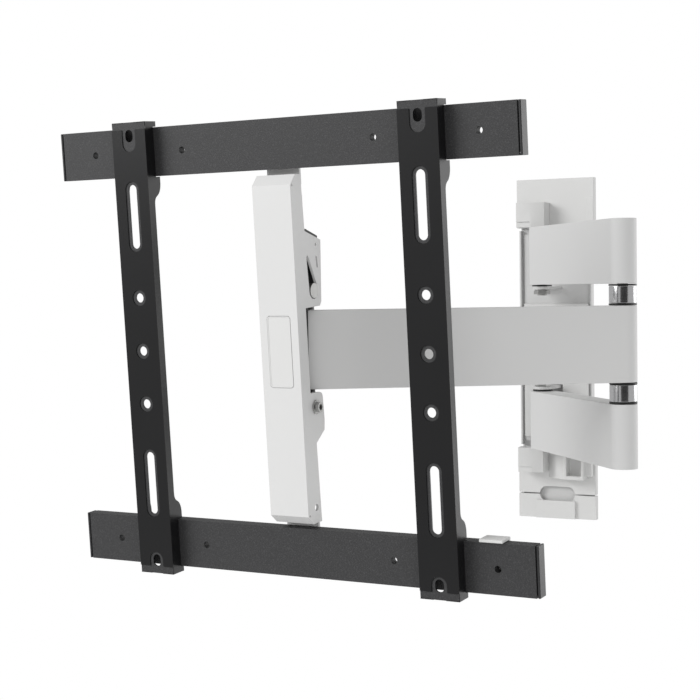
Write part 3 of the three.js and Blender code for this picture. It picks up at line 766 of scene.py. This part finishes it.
# %% Set the washers and spacers
rings = ring_tree()
FAMILIES = {
    "elbow_washers": (["elbow_washer_inner_upper", "elbow_washer_outer_upper",
                       "elbow_washer_inner_lower", "elbow_washer_outer_lower"], 5.3, 0.25),
    "elbow_spacers": (["elbow_spacer_upper", "elbow_spacer_lower"], 5.3, 0.5),
    "wall_washers": (["wall_washer_upper", "wall_washer_lower"], 5.3, 0.25),
    "swivel_washers": (["swivel_washer_upper", "swivel_washer_lower"], 5.3, 0.25),
}
for family, (names, bore, chamfer) in FAMILIES.items():
    corners = [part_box(name) for name in names]
    centres = [(low + high) / 2 for low, high in corners]
    size = corners[0][1] - corners[0][0]
    values = {
        "Outer": size.x / 2, "Bore": bore * MM, "Height": size.z, "Chamfer": chamfer * MM,
        "Material": finishes[slot_of[names[0]]],
    }
    made = dress(grown(family, centres, rings, values), names)
    print(family, len(names), "rings", len(made.data.polygons), "faces")

# %% [markdown]
# ## Nuts by Geometry Nodes
# A nut is a six-sided prism whose corners are turned off by a cone. The tree intersects the
# two solids, cuts the bore, and turns each copy by a seeded random angle, because no two nuts
# stop at the same place.

# %% A tree for hexagons
CONE_TOP, CONE_FOOT = 0.49, 0.70


def hexagon_tree():
    sizes = {"Across flats": 0.015, "Thickness": 0.005, "Bore": 0.005, "Spread": 0.5}
    tree, ports = new_tree("hexagon", sizes)
    flats, thickness = ports["Across flats"], ports["Thickness"]
    body = {"Vertices": 6, "Radius": flats * (1 / math.sqrt(3)), "Depth": thickness}
    prism_six = flats.node("GeometryNodeMeshCylinder", (), body)
    cone = {
        "Vertices": 64, "Radius Top": flats * CONE_TOP, "Radius Bottom": flats * CONE_FOOT,
        "Depth": thickness}
    turned = flats.node("GeometryNodeMeshCone", (), cone)
    shift = flats.node("ShaderNodeCombineXYZ", (), {"Z": thickness * -0.5})
    turned = flats.node(
        "GeometryNodeTransform", (), {"Geometry": turned, "Translation": shift})
    both = {"operation": "INTERSECT", "solver": "EXACT"}
    head = flats.node("GeometryNodeMeshBoolean", both, {})
    for source in (prism_six, turned):
        tree.links.new(source.socket, head.socket.node.inputs["Mesh 2"])
    drill = {"Vertices": 40, "Radius": ports["Bore"], "Depth": thickness * 3}
    hole = flats.node("GeometryNodeMeshCylinder", (), drill)
    less = {"operation": "DIFFERENCE", "solver": "EXACT"}
    bored = flats.node("GeometryNodeMeshBoolean", less, {"Mesh 1": head, "Mesh 2": hole})
    chance = flats.node("FunctionNodeRandomValue", {"data_type": "FLOAT"}, {"Seed": 7}, out=1)
    own_turn = flats.node("ShaderNodeCombineXYZ", (), {"Z": chance * ports["Spread"]})
    return end_tree(tree, ports, bored, own_turn)


# %% Set the two nuts
NUT_FLATS, NUT_BORE, NUT_SPREAD = 15, 5.3, 0.5
hexagons = hexagon_tree()
nuts = ["wall_spindle_nut_upper", "wall_spindle_nut_lower"]
corners = [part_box(name) for name in nuts]
centres = [(low + high) / 2 for low, high in corners]
values = {
    "Across flats": NUT_FLATS * MM, "Thickness": corners[0][1].z - corners[0][0].z,
    "Bore": NUT_BORE * MM, "Spread": NUT_SPREAD, "Material": finishes["zinc"],
}
made = dress(grown("wall_spindle_nuts", centres, hexagons, values), nuts)
print(made.name, len(made.data.polygons), "faces")

# %% [markdown]
# ## Tie bolt and its nut
# The bolt across the head's lower end has a round head with a hexagon socket on the right and a
# nut on the left. Both are small, so their CAD shapes with rounded edges are enough.

# %% Round the tie bolt
for name in ("tie_bolt", "tie_nut"):
    made = softened(f"{name}_rounded", merged(name), 0.35 * MM)
    dress(made, [name])
    print(name, len(made.data.polygons), "faces")

# %% [markdown]
# ## Studio
# A pale round floor lies far below, in an even white surround that gives a flat, shadowless look.
# A key light on the left makes the faces that turn to it brighter, a weaker one behind catches
# the edges, and a wide fill opens the right side. A dark card behind the camera is seen in
# reflections only, because a glossy black part looks black when it has something dark to mirror.

# %% Floor and dark card
def matt(name, scale, darker, paler):
    material, place = begin(name)
    cloud = noise(place, scale, 2)
    return close(material, blend(cloud, (darker,) * 3, (paler,) * 3), 0.8 + cloud * 0.1)


def stage_object(name, outline, finish):
    """One flat face that belongs to the studio and not to the mount."""
    data = bpy.data.meshes.new(name)
    data.from_pydata(outline, [], [range(len(outline))])
    data.materials.append(finish)
    made = bpy.data.objects.new(name, data)
    bpy.context.scene.collection.objects.link(made)
    return made


FLOOR_X, FLOOR_Y, FLOOR_Z, FLOOR_RADIUS = -0.1, -0.2, -0.62, 0.98
rim = [(FLOOR_X + u, FLOOR_Y + v, FLOOR_Z) for u, v in circle(0, 0, FLOOR_RADIUS, 128)]
stage_object("floor", rim, matt("floor_white", 1.5, 0.93, 0.95))

CARD_DISTANCE, CARD_ASIDE, CARD_WIDTH, CARD_HEIGHT = 2.4, 0.4, 3.0, 2.4
corners = rectangle(CARD_WIDTH / 2, -CARD_HEIGHT / 2, CARD_HEIGHT / 2)
outline = [(u, v, 0) for u, v in corners]
card = stage_object("dark_card", outline, matt("card_black", 2, 0.03, 0.04))
behind = plate_origin - CARD_DISTANCE * forward + CARD_ASIDE * level
card.matrix_world = Matrix.Translation(behind) @ turn
card.visible_camera = card.visible_diffuse = card.visible_shadow = False
print("floor radius", FLOOR_RADIUS, "m, card", CARD_WIDTH, "x", CARD_HEIGHT, "m")

# %% Surround
SURROUND = 0.5
WHITE = (1, 1, 1, 1)
world = bpy.data.worlds.new("surround")
world.use_nodes = True
sky = world.node_tree.nodes
lighting, backdrop = sky["Background"], sky.new("ShaderNodeBackground")
lighting.inputs["Color"].default_value = backdrop.inputs["Color"].default_value = WHITE
lighting.inputs["Strength"].default_value = SURROUND
seen, choice = sky.new("ShaderNodeLightPath"), sky.new("ShaderNodeMixShader")
for source, target in (
        (seen.outputs["Is Camera Ray"], choice.inputs[0]),
        (lighting.outputs[0], choice.inputs[1]),
        (backdrop.outputs[0], choice.inputs[2]),
        (choice.outputs[0], sky["World Output"].inputs[0])):
    world.node_tree.links.new(source, target)
bpy.context.scene.world = world


# %% Three soft lights
AIM = Vector((0, -0.2, 0))
LIGHTS = {
    "key": ((-1.9, -2.0, 1.2), 1.8, 56),
    "back": ((1.5, 1.8, 0.2), 2.2, 19),
    "fill": ((1.4, -2.2, 0.2), 3.0, 19),
}
for name, (place, size, power) in LIGHTS.items():
    lamp = bpy.data.lights.new(name, "AREA")
    lamp.shape, lamp.size, lamp.energy = "DISK", size, power
    made = bpy.data.objects.new(name, lamp)
    bpy.context.scene.collection.objects.link(made)
    made.location = place
    made.rotation_mode = "QUATERNION"
    made.rotation_quaternion = (AIM - Vector(place)).to_track_quat("-Z", "Y")
    made.visible_glossy = name != "fill"
    print(name, size, "m across,", power, "W")
bpy.context.scene.view_settings.view_transform = "Standard"
